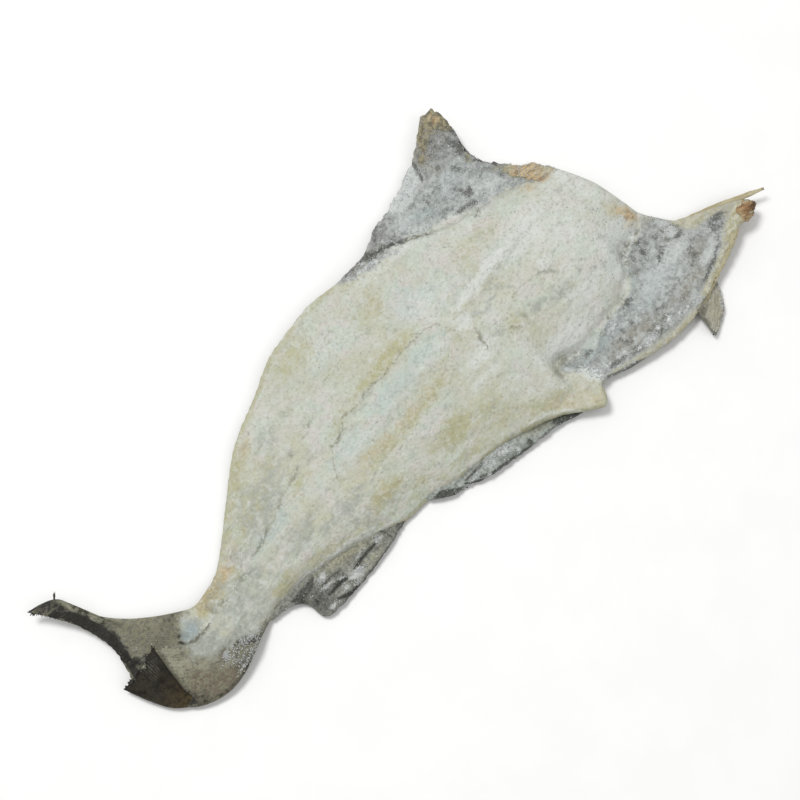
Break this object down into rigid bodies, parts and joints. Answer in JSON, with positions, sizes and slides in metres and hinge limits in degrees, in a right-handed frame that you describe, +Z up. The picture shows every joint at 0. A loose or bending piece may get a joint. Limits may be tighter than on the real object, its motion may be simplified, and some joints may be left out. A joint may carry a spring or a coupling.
{
  "type": "salted dried cod",
  "caption": "Whole headless cod, split along the belly, opened flat, salted and dried, lying skin down with tail fin, collar bone and belly flaps.",
  "frame": {"origin": "middle of the bounding box's foot, on the surface that the fish lies on", "axes": "+X along the back from the tail to the neck cut; +Y to the left as seen from above, looking from the tail to the neck; +Z up out of the cut flesh"},
  "size_m": [0.7406, 0.3484, 0.0327],
  "materials": {
    "dried_flesh": "matte, dusted with salt"
  },
  "bodies": {
    "root": {"cod": "dried_flesh"}
  },
  "joints": []
}
